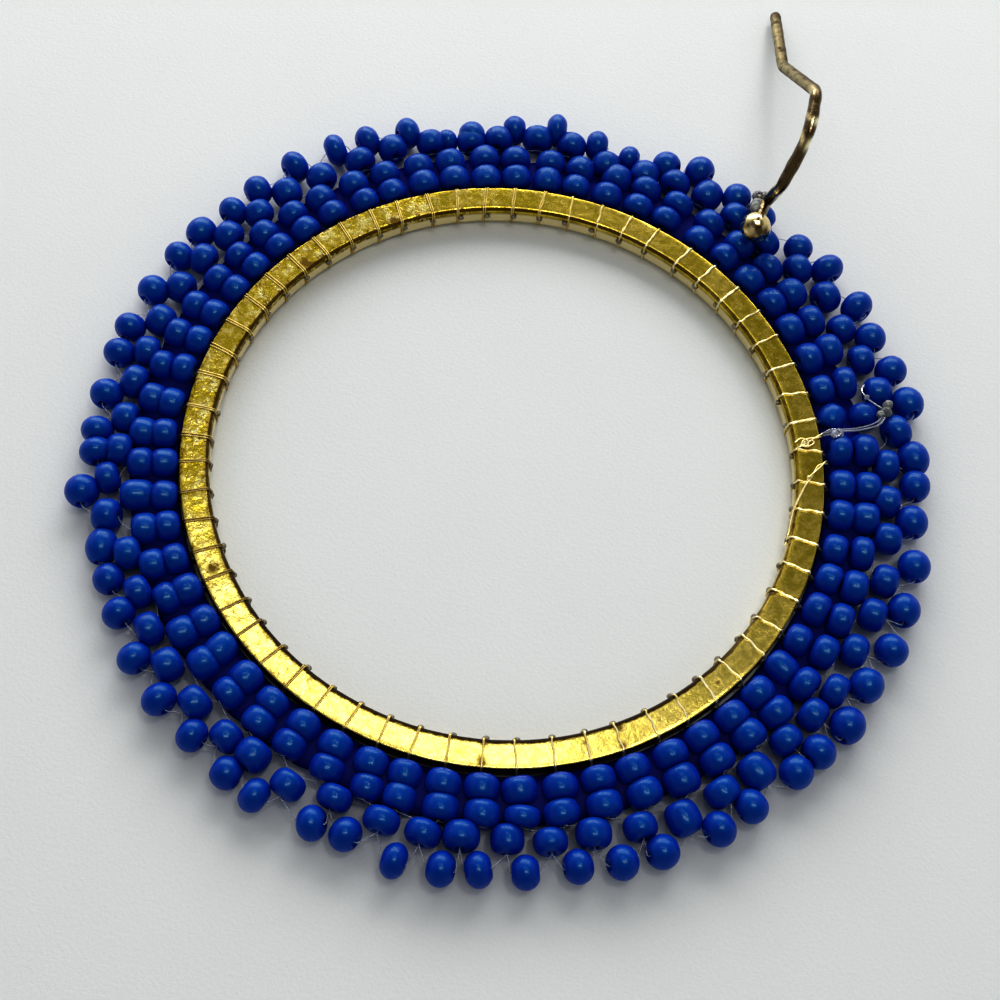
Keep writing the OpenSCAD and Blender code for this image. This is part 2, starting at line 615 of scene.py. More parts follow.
def curve(knots: np.ndarray, count: int) -> np.ndarray:
    """Smooth paths through a few points each.

    Between two knots the path is the cubic whose slope at each knot is half the step from
    the knot before to the knot after.

    Args:
        knots: an array of (copies, knots, 3).
        count: how many points each path gets.

    Returns:
        An array of (copies, count, 3).
    """
    n = knots.shape[1]
    along = np.linspace(0.0, n - 1.0, count)
    start = np.minimum(along.astype(int), n - 2)
    t = (along - start)[None, :, None]
    padded = np.concatenate([2 * knots[:, :1] - knots[:, 1:2], knots, 2 * knots[:, -1:] - knots[:, -2:-1]], 1)
    p0, p1, p2, p3 = (padded[:, start + k] for k in range(4))
    return 0.5 * (2 * p1 + (p2 - p0) * t + (2 * p0 - 5 * p1 + 4 * p2 - p3) * t ** 2
                  + (3 * p1 - p0 - 3 * p2 + p3) * t ** 3)


def strands(paths: np.ndarray, radii: Any, across: np.ndarray, sides: int,
            closing: Closing = Closing.CAPS, heights: Any = None) -> Surface:
    """Round strands carried along paths.

    At each path point the circle lies across the path's own direction: its first axis is
    the direction crossed with a given sideways vector, and its second is square to both.

    Args:
        paths: an array of (copies, points, 3).
        radii: the strand's radius, which spreads to (copies, points).
        across: a sideways vector that spreads to the paths' shape.
        sides: how many sides a strand has.
        closing: whether a strand closes on itself or ends in caps.
        heights: the radius along the second axis, where it differs from the first.

    Returns:
        The strands as one surface.
    """
    copies, count, _ = paths.shape
    if closing is Closing.RING:
        heading = unit(np.roll(paths, -1, 1) - np.roll(paths, 1, 1))
    else:
        heading = unit(np.gradient(paths, axis=1))
    side = unit(np.cross(heading, np.broadcast_to(across, paths.shape)))
    up = np.cross(side, heading)
    turn = np.arange(sides) * TURN / sides
    wide = np.broadcast_to(radii, (copies, count))[:, :, None, None]
    high = wide if heights is None else np.broadcast_to(heights, (copies, count))[:, :, None, None]
    ring = wide * np.cos(turn)[:, None] * side[:, :, None] + high * np.sin(turn)[:, None] * up[:, :, None]
    points = (paths[:, :, None] + ring).reshape(-1, 3)
    faces = [grid_faces(copies, count, sides, closing is Closing.RING)]
    if closing is Closing.CAPS:
        firsts = (np.arange(copies) * count * sides)[:, None] + np.arange(sides)
        lasts = firsts + (count - 1) * sides
        faces += [firsts, lasts[:, ::-1]]
    return Surface(points, faces).outward()


def around(radius: Any, degrees: Any, height: Any) -> np.ndarray:
    """Places at a radius, an angle counted from +X towards +Y, and a height."""
    a = np.radians(degrees)
    return np.stack(np.broadcast_arrays(radius * np.cos(a), radius * np.sin(a), height), -1).astype(float)


@dataclass(frozen=True)
class Lump:
    """A rounded lump: an ellipsoid whose radius swells and shrinks with a few low waves.

    Attributes:
        place: its middle.
        radii: its three half sizes.
        wobble: how far the waves go, as a share of the radius.
        seed: which waves it gets.
        rings, sides: rows of points from pole to pole, and points round each row.
        pole: the angle from a pole at which the rows end and a flat cap begins.
    """

    place: Place
    radii: tuple[float, float, float]
    wobble: float
    seed: int
    rings: int = 14
    sides: int = 20
    pole: float = 0.12

    def surface(self) -> Surface:
        """The lump, each of whose waves runs both round it and from pole to pole.

        Returns:
            The lump's surface.
        """
        rng = np.random.default_rng(self.seed)
        polar = np.linspace(self.pole, math.pi - self.pole, self.rings)[:, None]
        turn = (np.arange(self.sides) * TURN / self.sides)[None, :]
        waves = sum(rng.uniform(-1, 1) * np.cos(k * turn + rng.uniform(0, TURN)) * np.sin(polar) ** k
                    + rng.uniform(-1, 1) * np.cos((k + 1) * polar) for k in (1, 2, 3))
        size = 1.0 + self.wobble * waves / 3.0
        ball = np.stack([np.sin(polar) * np.cos(turn), np.sin(polar) * np.sin(turn),
                         np.cos(polar) + 0 * turn], -1)
        points = (around(*self.place) + np.array(self.radii) * ball * size[..., None]).reshape(-1, 3)
        cap = np.arange(self.sides)[None, :]
        faces = [grid_faces(1, self.rings, self.sides, False), cap,
                 (cap + (self.rings - 1) * self.sides)[:, ::-1]]
        return Surface(points, faces).outward()


@dataclass(frozen=True)
class Strand:
    """A short length of thread through its stops."""

    thickness: float
    stops: tuple[Place, ...]

    def surface(self) -> Surface:
        """The strand, with twelve points to a stop."""
        knots = np.array([around(*stop) for stop in self.stops])
        path = curve(knots[None], 12 * len(self.stops))
        return strands(path, self.thickness / 2.0, np.array([0.1, 0.2, 1.0]), 6)


# Putting pieces in the scene


@dataclass
class Bench:
    """Puts finished surfaces into the scene, at the place of the hoop in the frame."""

    hoop_box: tuple[Any, Any]

    def origin(self) -> np.ndarray:
        """The hoop's axis on the floor, in metres."""
        low, high = (np.array(corner, float) for corner in self.hoop_box)
        middle = (low + high) / 2.0
        return np.array([middle[0], middle[1], 0.0])

    def piece(self, name: str, surface: Surface, material: bpy.types.Material, slot: Optional[Slot],
              smoothing: int = 0) -> bpy.types.Object:
        """Makes one piece, which rides on the part's one body.

        Args:
            name: the piece's name.
            surface: its points and faces.
            material: its finish.
            slot: the record's material slot, or None for a part of the stage.
            smoothing: levels of subdivision.

        Returns:
            The new object.
        """
        mesh = bpy.data.meshes.new(name)
        points = (surface.points * MM + self.origin()).tolist()
        faces = [face for block in surface.faces for face in block.tolist()]
        mesh.from_pydata(points, [], faces)
        mesh.shade_smooth()
        for key, values in surface.tones.items():
            mesh.attributes.new(key, "FLOAT", "POINT").data.foreach_set("value", values.astype(np.float32))
        made = bpy.data.objects.new(name, mesh)
        bpy.context.scene.collection.objects.link(made)
        mesh.materials.append(material)
        if smoothing:
            subdivision = made.modifiers.new("smooth", "SUBSURF")
            subdivision.levels = subdivision.render_levels = smoothing
        if slot is not None:
            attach(made, "root")
        log.info("%s: %d points, %d faces", name, len(points), len(faces))
        return made


def stand(name: str, data: bpy.types.ID, axes: tuple[np.ndarray, ...], place: np.ndarray) -> bpy.types.Object:
    """Puts a light or a camera in the scene, with its own three axes, at a place in metres.

    Args:
        name: its name.
        data: the light or the camera.
        axes: its X, Y and Z, as unit vectors.
        place: where it stands.

    Returns:
        The new object.
    """
    made = bpy.data.objects.new(name, data)
    made.matrix_world = Matrix(np.vstack([np.column_stack([*axes, place]), [0.0, 0.0, 0.0, 1.0]]).tolist())
    bpy.context.scene.collection.objects.link(made)
    return made


# The earring's sub-assemblies


@dataclass(frozen=True)
class Spot:
    """A brown mark on the hoop: its angle, its distance from the axis, and how far it reaches."""

    angle: float
    radius: float
    reach: float


@dataclass
class Hoop:
    """The plated hoop: a flat bar bent round, with rounded and slightly worn edges.

    Attributes:
        outer, width: the outside radius, and the bar's width across the hoop.
        top, under: the heights of the bar's upper side and underside.
        corners: which way each corner of the section points, and its rounding across and up.
        corner_points, side_points: points on each corner and on each side of the section.
        spots: where brown marks are worn in.
        height: how high its slow waves are.
        waves: each wave's share, and how often it turns round the hoop and round the section.
        steps: points along the hoop.
    """

    outer: float = 20.0
    width: float = 1.8
    top: float = 1.55
    under: float = 0.02
    corners: tuple[tuple[int, int, float, float], ...] = ((1, 1, 0.12, 0.12), (-1, 1, 0.27, 0.5),
                                                          (-1, -1, 0.24, 0.4), (1, -1, 0.2, 0.2))
    spots: tuple[Spot, ...] = (Spot(273.5, 19.6, 0.35), Spot(273.6, 18.5, 0.3), Spot(297.6, 19.7, 0.3),
                               Spot(298.0, 18.6, 0.4), Spot(339.5, 19.6, 0.3), Spot(318.0, 19.2, 0.25),
                               Spot(339.0, 18.4, 0.3), Spot(141.5, 18.8, 0.5), Spot(212.6, 19.2, 0.45),
                               Spot(261.4, 18.4, 0.25), Spot(291.4, 19.0, 0.2), Spot(121.0, 18.6, 0.4))
    corner_points: int = 8
    side_points: int = 5
    height: float = 0.012
    waves: tuple[tuple[float, int, int], ...] = ((0.4, 7, 1), (0.3, 13, 2), (0.2, 23, 3), (0.15, 41, 2))
    steps: int = 900

    def section(self) -> tuple[np.ndarray, dict[str, np.ndarray]]:
        """The bar's outline: four quarter ellipses joined by straight sides.

        Returns:
            The outline as (n, 2) distances from the axis and heights, and for each point
            whether it is on a rounded corner ("edge"), on the rounding above the inner wall
            ("inner"), on the inner wall ("inside") and on the outer wall ("outer").
        """
        half = np.array([self.width, self.top - self.under]) / 2.0
        middle = np.array([self.outer - self.width / 2.0, (self.top + self.under) / 2.0])
        arcs = []
        for quarter, (right, up, across, upwards) in enumerate(self.corners):
            a = np.radians(np.linspace(0.0, 90.0, self.corner_points) + 90.0 * quarter)
            edge = np.array([across, upwards])
            corner = middle + np.array([right, up]) * (half - edge)
            arcs.append(corner + edge * np.stack([np.cos(a), np.sin(a)], -1))
        share = np.linspace(0.15, 0.85, self.side_points)[:, None]
        outline = np.concatenate([part for arc, following in zip(arcs, arcs[1:] + arcs[:1])
                                  for part in (arc, arc[-1] + share * (following[0] - arc[-1]))])
        place = np.arange(len(outline))
        quarter = self.corner_points + self.side_points
        last = 4 * quarter

        def band(low: float, high: float, before: float, after: float) -> np.ndarray:
            """1 from the low to the high place, with a ramp before and after."""
            return np.minimum(ramp(place, low - before, low), ramp(place, high + after, high))

        return outline, {"edge": (place % quarter < self.corner_points).astype(float),
                         "inner": band(quarter + 2, quarter + 4, 5.0, 2.0),
                         "inside": band(quarter + 8, 2 * quarter + 2, 2.0, 2.0),
                         "outer": np.maximum(band(3 * quarter, last, 1.0, 1.0), band(0, 2, 2.0, 2.0))}

    def surface(self, stitches: np.ndarray) -> Surface:
        """The outline carried round the axis, with slow waves of a hundredth of a millimetre.

        The waves are sines, each in a phase that moves along the outline. A brown mark is a
        bell curve of the distance from its middle.

        Args:
            stitches: the angles at which the hoop is wrapped; between two of them the plating
                has one shade.

        Returns:
            The hoop's surface.
        """
        outline, parts = self.section()
        turn = np.arange(self.steps) * TURN / self.steps
        phase = np.arange(len(outline)) * TURN / len(outline)
        wave = sum(share * np.sin(k * turn[:, None] + k * 1.7 + m * phase[None, :])
                   for share, k, m in self.waves)
        out = outline[None] + self.height * wave[..., None] * unit(outline - outline.mean(0))[None]
        out[..., 1] = np.maximum(out[..., 1], self.under)
        points = around(out[..., 0], np.degrees(turn)[:, None], out[..., 1])
        brown = sum(bell_of(points[..., :2] - around(spot.radius, spot.angle, 0.0)[:2], spot.reach)
                    for spot in self.spots)
        between = np.searchsorted(np.sort(stitches % 360.0), np.degrees(turn)) % len(stitches)
        panel = np.random.default_rng(31).uniform(0.0, 1.0, len(stitches))[between]
        tones = {name: np.tile(values, self.steps) for name, values in parts.items()}
        faces = grid_faces(1, self.steps, len(outline), True)
        return Surface(points.reshape(-1, 3), [faces], tones).toned(brown=brown, panel=panel).outward()

    def build(self, bench: Bench, finish: PlatedGold, stitches: np.ndarray) -> None:
        """Makes the hoop in place of its CAD node."""
        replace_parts(bench.piece("hoop_bar", self.surface(stitches), finish.material(), Slot.HOOP), "hoop")


@dataclass(frozen=True)
class Bead:
    """One seed bead: a short glass tube with rounded ends.

    Attributes:
        diameter, length, bore: its size across and along the hole, and the hole's diameter.
        shoulder: where its side turns into its end, as shares of half its length and of its
            radius.
        rim: where its end turns into the hole, as a share of its radius.
        sides: points round the hole before smoothing.
    """

    diameter: float = 2.06
    length: float = 1.48
    bore: float = 0.30
    shoulder: tuple[float, float] = (0.78, 0.84)
    rim: float = 0.31
    sides: int = 8

    def outline(self) -> np.ndarray:
        """The control points of the bead's section.

        A closed cubic spline passes through six places: the middle of the outside, the
        shoulder and the bore's rim at each end, and the middle of the bore. At each place the
        spline is a sixth of the control point before, two thirds of its own and a sixth of
        the next, so the control points solve that set of equations.

        Returns:
            An array of (6, 2): distance along the bore and from it.
        """
        half, r, hole = self.length / 2.0, self.diameter / 2.0, self.bore / 2.0
        along, out = half * self.shoulder[0], r * self.shoulder[1]
        wanted = np.array([(0.0, r), (along, out), (half, self.rim * r), (0.0, hole),
                           (-half, self.rim * r), (-along, out)])
        n = len(wanted)
        near = np.roll(np.eye(n), 1, 0) + np.roll(np.eye(n), -1, 0)
        control = np.linalg.solve(np.eye(n) * 4.0 / 6.0 + near / 6.0, wanted)
        control[:, 1] *= 6.0 / (4.0 + 2.0 * math.cos(TURN / self.sides))
        return control


@dataclass(frozen=True)
class Quirk:
    """How one bead differs from its row: pushed out, longer, wider, turned or shifted along."""

    out: float = 0.0
    longer: float = 1.0
    wider: float = 1.0
    yaw: float = 0.0
    along: float = 0.0


@dataclass
class Layout:
    """Where the beads of a round are, with one row of each array for a bead.

    Attributes:
        angle, middle, tone: the bead's angle in degrees, its middle and its shade.
        bore, side, up: the direction of its hole, and two directions square to that.
        stretch: its size along and across the hole, as shares of the common bead's.
        end: the way from its middle to the end of its hole.
    """

    angle: np.ndarray
    middle: np.ndarray
    bore: np.ndarray
    side: np.ndarray
    up: np.ndarray
    stretch: np.ndarray
    end: np.ndarray
    tone: np.ndarray


@dataclass(frozen=True)
class BeadRow:
    """A round of sixty beads, each with its own place, size and lean.

    Attributes:
        name, bead: the piece's name, and the beads' common shape.
        radius: the mean distance of the beads' middles from the axis.
        reach: how much further out the round lies towards +X and towards +Y.
        start: the angle of the first bead, before the drift.
        drift, out, lengths: how many degrees each bead has slipped along its round, how far
            it is pushed out, and its length, each chart from the first bead on.
        along_edge: whether the bores run along the edge, and not outwards.
        quirks: the beads that differ, by their number.
        seed: which small irregularities the round gets.
        slip, stagger, lean, uneven, wider, lift: the spread of the beads' angles, distances,
            leans, lengths where no chart gives them, widths and heights.
        packed: whether each bead is as wide as its room between its two neighbours.
        filling: how much of its room a packed bead takes, and as shares of the common width
            how narrow it may get, how wide, and how much wider towards +X.
    """

    name: str
    bead: Bead
    radius: float
    reach: tuple[float, float]
    start: float
    drift: tuple[float, ...]
    along_edge: bool
    quirks: dict[int, Quirk]
    seed: int
    out: tuple[float, ...] = ()
    lengths: tuple[float, ...] = ()
    slip: float = 0.2
    stagger: float = 0.04
    lean: float = 5.0
    uneven: float = 0.05
    wider: float = 0.025
    lift: float = 0.03
    packed: bool = False
    filling: tuple[float, float, float, float] = (0.99, 0.94, 1.01, 0.05)

    def charted(self, chart: tuple[float, ...], usual: float) -> np.ndarray:
        """A chart filled up to all beads with the usual value."""
        values = np.full(COLUMNS, usual)
        values[:len(chart)] = chart
        return values

    def layout(self) -> Layout:
        """Works out each bead's place, axes, size and tone.

        The bore points along the bead's angle plus its yaw, a quarter turn further on the
        edging, and is tipped up or down a little. A bead's middle lies half its own width
        above the floor.

        Returns:
            The layout.
        """
        bead, rng = self.bead, np.random.default_rng(self.seed)

        def draw(size: float) -> np.ndarray:
            """A small change for each bead, which stays within twice the size."""
            return np.clip(rng.normal(0.0, size, COLUMNS), -2.0 * size, 2.0 * size)

        def own(name: str) -> np.ndarray:
            """What each bead's quirk says about one thing."""
            return np.array([getattr(self.quirks.get(number, Quirk()), name) for number in range(COLUMNS)])

        angle = (self.start + PITCH * np.arange(COLUMNS) + self.charted(self.drift, 0.0) + own("along")
                 + draw(self.slip))
        cos, sin = np.cos(np.radians(angle)), np.sin(np.radians(angle))
        radius = (self.radius + self.reach[0] * cos + self.reach[1] * sin
                  + self.charted(self.out, 0.0) + own("out") + draw(self.stagger))
        length = self.charted(self.lengths, bead.length) / bead.length
        longer = length * own("longer") * (1.0 + draw(0.0 if self.lengths else self.uneven))
        wider = own("wider") * (1.0 + draw(self.wider))
        if self.packed:
            room = np.radians(np.diff(angle, append=angle[0] + 360.0)) * radius
            fill, least, most, more = self.filling
            fit = fill * np.minimum(room, np.roll(room, 1)) / bead.diameter
            wider = own("wider") * np.clip(fit, least, most + more * cos)
        heading = np.radians(angle + own("yaw") + draw(self.lean) + (90.0 if self.along_edge else 0.0))
        tip = np.radians(draw(self.lean))
        bore = np.stack([np.cos(heading) * np.cos(tip), np.sin(heading) * np.cos(tip), np.sin(tip)], -1)
        side = unit(np.cross(bore, UP))
        height = bead.diameter / 2.0 * wider + np.abs(draw(self.lift))
        end = bore * (bead.length / 2.0 * longer)[:, None]
        return Layout(angle, around(radius, angle, height), bore, side, np.cross(side, bore),
                      np.stack([longer, wider], -1), end, rng.uniform(0.0, 1.0, COLUMNS))

    def surface(self, at: Layout) -> Surface:
        """The bead's outline turned about each bore, as one mesh of separate rings.

        Args:
            at: where the beads are.

        Returns:
            The surface of all beads of the round.
        """
        outline, sides = self.bead.outline(), self.bead.sides
        turn = np.arange(sides) * TURN / sides
        along, out = (outline.T[:, None, :, None] * at.stretch.T[:, :, None, None])[..., None]
        ring = (np.cos(turn)[:, None] * at.side[:, None, None, :]
                + np.sin(turn)[:, None] * at.up[:, None, None, :])
        points = at.middle[:, None, None] + along * at.bore[:, None, None] + out * ring
        faces = grid_faces(COLUMNS, len(outline), sides, True)
        return Surface(points.reshape(-1, 3), [faces]).toned(tone=at.tone).outward()


# Charts of the beads by their number, with a quarter turn of the hoop in each line. The first
# three are how many degrees the columns, the third row and the edging have slipped along it.
COLUMN_DRIFT = (
    -0.3, 0.0, 0.7, 0.5, 0.8, 1.4, 1.2, 1.4, 1.5, 1.7, 2.3, 2.3, 2.2, 2.3, 1.7,
    1.3, 0.8, 0.8, 0.6, 0.5, 0.2, 0.8, 0.4, 0.5, 0.6, 0.2, 0.3, 0.3, 0.4, 1.0,
    0.8, 0.5, 0.7,
)
THIRD_DRIFT = (
    0.4, 0.7, 0.9, 1.0, 0.7, 0.8, 0.8, 2.0, 2.6, 2.1, 1.6, 0.8, 1.4, 1.5, 1.0,
    1.6, 0.0, 0.9, 0.4, 0.6, 1.2, 1.5, 1.1, 1.5, 1.4, 1.2, 2.3, 1.7, 1.8, 1.6,
    0.9, -0.5, -0.4, 0.2, 0.4, 0.0, 0.0, 1.0, 1.7, -0.2, 0.5, 0.7, 1.8, 1.3, 0.5,
    0.7, 0.5, 0.6, 0.7, 0.4, 1.1, 0.6, 1.0, 0.2, -0.9, -0.1, 0.3, -0.3, 0.9, 0.8,
)
EDGING_DRIFT = (
    -0.3, -1.9, 0.8, 0.3, 0.0, -0.9, 0.6, -0.1, 1.2, 0.4, 1.2, 0.4, 0.2, -0.5, 0.4,
    0.9, 1.8, -0.3, -0.1, 0.1, -1.0, 0.0, 1.0, 0.1, -0.1, -0.8, 0.0, 1.1, -0.7, 0.3,
    0.0, -2.6, -2.5, 0.0, -1.0, -1.9, -1.1, -0.5, 0.2, 0.6, -0.6, 1.3, -0.2, 0.8, 0.5,
    -0.8, -1.0, -0.5, -0.9, -1.7, 0.3, -0.7, 0.9, -1.1, -1.6, -1.5, -1.3, -1.0, -0.4, 0.0,
)

# How far the third row's beads are pushed out, and where the edging's beads lie past 25 mm.
THIRD_OUT = (
    -0.3, 0.65, 0.25, 0.1, -0.1, 0.2, 0.0, -0.2, 0.0, 0.25, -0.15, -0.45, -0.75, 0.2, 0.4,
    0.1, 0.1, 0.3, 0.4, 0.1, 0.0, 0.3, 0.1, 0.0, 0.1, 0.1, 0.0, -0.2, -0.1, -0.2,
    -0.2, 0.5, 0.6, -0.2, -0.15, 0.1, 0.3, 0.3, 0.3, 0.1, 0.3, -0.3, 0.0, 0.0, -0.15,
    -0.2, -0.1, -0.1, 0.1, 0.5, 0.1, 0.2, -0.1, 0.0, 0.1, -0.1, 0.0, 0.1, -0.3, -0.4,
)
EDGING_OUT = (
    0.87, 0.95, 1.33, 1.06, 0.79, 1.07, 1.04, 0.62, 0.5, 0.59, 0.87, 0.16, -0.3, -0.1, 0.49,
    0.19, -0.4, -0.5, 0.4, 0.53, 0.55, 0.6, 0.44, 0.3, 0.58, 0.45, 0.37, 0.35, 0.2, 0.13,
    0.2, 0.15, 0.86, 0.07, 0.07, 0.17, 0.5, 0.6, 0.5, 0.7, 0.8, 0.55, 0.35, 0.9, 0.8,
    0.65, 0.7, 0.7, 0.95, 1.06, 1.1, 0.97, 0.97, 0.97, 1.25, 0.87, 1.15, 1.05, 1.0, 0.6,
)

# How long the edging's beads are along the edge, in millimetres.
EDGING_LENGTH = (
    1.8, 2.0, 1.9, 1.7, 1.75, 1.6, 1.55, 1.65, 1.6, 1.7, 1.7, 1.7, 1.3, 1.4, 1.3,
    1.45, 1.6, 1.2, 1.4, 1.4, 1.35, 1.45, 1.6, 1.45, 1.8, 1.55, 1.65, 1.55, 1.55, 1.6,
    1.5, 1.5, 1.75, 2.0, 1.65, 1.55, 1.55, 1.55, 1.5, 1.65, 1.45, 1.5, 1.55, 1.35, 1.5,
    1.45, 1.5, 1.55, 1.6, 1.7, 1.6, 1.65, 1.75, 1.65, 1.95, 1.85, 1.7, 1.85, 1.8, 1.85,
)


@dataclass
class Beadwork:
    """Three rows of beads stitched round the hoop, and the edging of single beads."""

    rows: tuple[BeadRow, ...] = (
        BeadRow("bead_row_1", Bead(), 21.07, (0.08, 0.0), 4.0, COLUMN_DRIFT, False, {
            2: Quirk(0.1, 1.1, 0.9, 62.0), 14: Quirk(0.05, 1.1), 31: Quirk(0.0, 1.0, 0.97, 8.0),
            37: Quirk(0.05, 1.1, 0.95, 15.0, -0.6), 46: Quirk(0.05, 1.12), 54: Quirk(0.1, 1.25, 0.95),
        }, 11, packed=True),
        BeadRow("bead_row_2", Bead(), 22.55, (0.2, 0.05), 4.0, COLUMN_DRIFT, False, {
            2: Quirk(0.5, 1.0, 0.9, 78.0, -0.4), 13: Quirk(-0.1, 1.05, 1.0, -20.0),
            32: Quirk(0.25, 1.3, 1.0, 0.0, -0.8), 36: Quirk(0.0, 1.15), 41: Quirk(along=0.8),
            42: Quirk(along=0.9), 46: Quirk(0.1, 0.85), 50: Quirk(0.1, 1.1), 54: Quirk(0.25, 1.0),
            57: Quirk(0.0, 1.12),
        }, 12, packed=True),
        BeadRow("bead_row_3", Bead(), 24.12, (0.3, 0.05), 7.0, THIRD_DRIFT, False, {
            1: Quirk(yaw=24.0), 2: Quirk(yaw=-12.0), 9: Quirk(longer=1.2), 31: Quirk(longer=0.95, yaw=8.0),
            32: Quirk(yaw=-14.0), 49: Quirk(longer=1.25), 51: Quirk(longer=1.28),
        }, 13, THIRD_OUT),
        BeadRow("bead_edging", Bead(2.04, 1.66, shoulder=(0.73, 0.79)), 25.0, (0.0, 0.0), 5.0,
                EDGING_DRIFT, True, {
            1: Quirk(yaw=10.0), 5: Quirk(wider=1.14), 6: Quirk(wider=1.12), 10: Quirk(wider=1.08),
            12: Quirk(wider=0.9), 14: Quirk(wider=1.06), 17: Quirk(wider=0.82), 20: Quirk(wider=1.08),
            31: Quirk(yaw=14.0), 33: Quirk(wider=0.94, yaw=-18.0), 34: Quirk(wider=0.94),
            41: Quirk(yaw=12.0), 42: Quirk(yaw=-14.0), 54: Quirk(wider=1.05),
        }, 14, EDGING_OUT, EDGING_LENGTH, 0.1, 0.03, 7.0),
    )

    def build(self, bench: Bench, finish: CobaltGlass) -> dict[str, Layout]:
        """Makes the four rounds of beads in place of the two CAD nodes.

        Args:
            bench: what puts the pieces in the scene.
            finish: the beads' glass.

        Returns:
            The layout of each round, by its piece's name.
        """
        glass = finish.material()
        layouts = {row.name: row.layout() for row in self.rows}
        for row in self.rows:
            made = bench.piece(row.name, row.surface(layouts[row.name]), glass, Slot.BEAD, 2)
            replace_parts(made, "picot_edge" if row.along_edge else "bead_band")
        return layouts


@dataclass
class Stitching:
    """The clear thread: wraps on the hoop, loops between the rows and the edging's thread.

    Attributes:
        thickness, wrap_thickness: the thread's thickness in the loops and in the wraps.
        sides: how many sides a strand has.
        crossing: how many degrees a wrap crosses the hoop before its column on the whole, how
            many more on the right, and how far that right is turned.
        rounding: how far from the bar's corners a wrap begins to go round them.
        hole: how far off the bar a wrap meets the first row's bore, and at what height.
        twists: how often the two turns of a wrap go round each other.
        brown: the angle at which the wraps are painted brown as shade, how far that reaches and how brown.
        bump: half the length of a bump, in degrees, and its radius and its height.
        core_place, core_size: the radius and height of the core, a cord painted dark as shade, and its half
            width and height.
        inside, rim: where a loop's knots are in and by a bore, as shares of half its length.
    """

    thickness: float = 0.075
    wrap_thickness: float = 0.10
    sides: int = 6
    crossing: tuple[float, float, float] = (0.1, 0.55, 15.0)
    rounding: float = 0.2
    hole: tuple[float, float] = (0.28, 0.95)
    twists: float = 9.0
    brown: tuple[float, float, float] = (210.0, 28.0, 0.85)
    bump: tuple[float, float, float] = (0.62, 0.13, 0.95)
    core_place: tuple[float, float] = (21.57, 0.60)
    core_size: tuple[float, float] = (1.42, 0.42)
    inside: float = 0.6
    rim: float = 1.02

    def stitches(self, columns: np.ndarray) -> np.ndarray:
        """Where each column's wrap crosses the hoop: before it on the right, past it on the left."""
        before, swing, turned = self.crossing
        return columns - before - swing * np.cos(np.radians(columns + turned))

    def way_round(self, hoop: Hoop) -> np.ndarray:
        """One turn's way round the bar, from the first row's bore over the top and back below.

        It keeps half its own thickness off the bar, stands off the inner face, and bulges
        outwards at mid height to meet the bore.

        Args:
            hoop: the hoop it goes round.

        Returns:
            Its knots as (n, 3): the distance from the axis, how much of its slant along the
            hoop is done, and the height.
        """
        r, e = self.wrap_thickness / 2.0, self.rounding
        inner, outer = hoop.outer - hoop.width - r, hoop.outer + r
        low, high = hoop.under - 0.2 * r, hoop.top + 0.7 * r
        bore = (outer + self.hole[0], 0.0, self.hole[1])
        return np.array([
            bore, (outer, 0.0, high - 1.6 * e), (outer - 0.3 * e, 0.0, high - 0.3 * e),
            (outer - 1.3 * e, 0.1, high), ((inner + outer) / 2, 0.5, high), (inner + 1.8 * e, 0.9, high),
            (inner + 0.5 * e, 1.0, high - 0.5 * e), (inner, 1.0, high - 2.4 * e),
            (inner - 0.06, 1.0, (low + high) / 2), (inner, 1.0, low + 2.0 * e),
            (inner + 0.4 * e, 1.0, low + 0.6 * e), (inner + 1.5 * e, 0.9, low + 0.1),
            (outer - 1.5 * e, 0.1, low + 0.1), (outer - 0.3 * e, 0.0, low + 0.35 * e),
            (outer + 0.05, 0.0, low + 1.6 * e), bore])

    def wraps(self, hoop: Hoop, columns: np.ndarray) -> Surface:
        """Two closed turns of thread round the hoop's bar at each column.

        On the left of the hoop the two turns of a wrap lie side by side; on its right they
        wind round each other, as each swings from side to side with the cosine of its way
        along. They are painted pale towards the right, as a highlight, and painted brown round
        the angle that brown gives, as shade.

        Args:
            hoop: the hoop it goes round.
            columns: the angles of the first row's beads.

        Returns:
            The wraps as one surface.
        """
        rng = np.random.default_rng(21)
        radius, done, height = self.way_round(hoop).T
        crossing = self.stitches(columns)
        cos, sin = np.cos(np.radians(columns)), np.sin(np.radians(columns))
        right, near = np.clip(0.4 + 1.4 * cos, 0.0, 1.0), np.clip(-sin, 0.0, 1.0)
        slant = rng.normal(0.15, 0.3, COLUMNS)
        apart = (0.11 + 0.10 * (1.0 - right) * (1.0 - 0.6 * near)) * rng.uniform(0.75, 1.25, COLUMNS)
        across = around(1.0, crossing + 90.0, 0.0)[:, None]
        right = right[:, None]
        thick = self.wrap_thickness / 2.0 * (1.0 + 0.25 * right)
        turns = []
        for side in (-1.0, 1.0):
            degrees = crossing[:, None] + slant[:, None] * done + rng.normal(0.0, 0.04, (COLUMNS, 1))
            path = curve(np.stack(np.broadcast_arrays(radius, degrees, height), -1), 108)[:, :-1]
            along = np.linspace(0.0, TURN * self.twists, path.shape[1]) + rng.uniform(0, TURN, (COLUMNS, 1))
            swing = 1.0 - right + right * np.cos(along)
            paths = around(path[..., 0], path[..., 1] + side * apart[:, None] * swing, path[..., 2])
            # Painted light: pale towards the right is a painted highlight, and brown round its angle is
            # painted shade.
            turns.append(strands(paths, thick, across, self.sides, Closing.RING).toned(
                pale=np.clip(1.6 * cos, 0.12, 1.0),
                brown=self.brown[2] * bell(columns % 360.0 - self.brown[0], self.brown[1], 4.0)))
        return joined(turns)

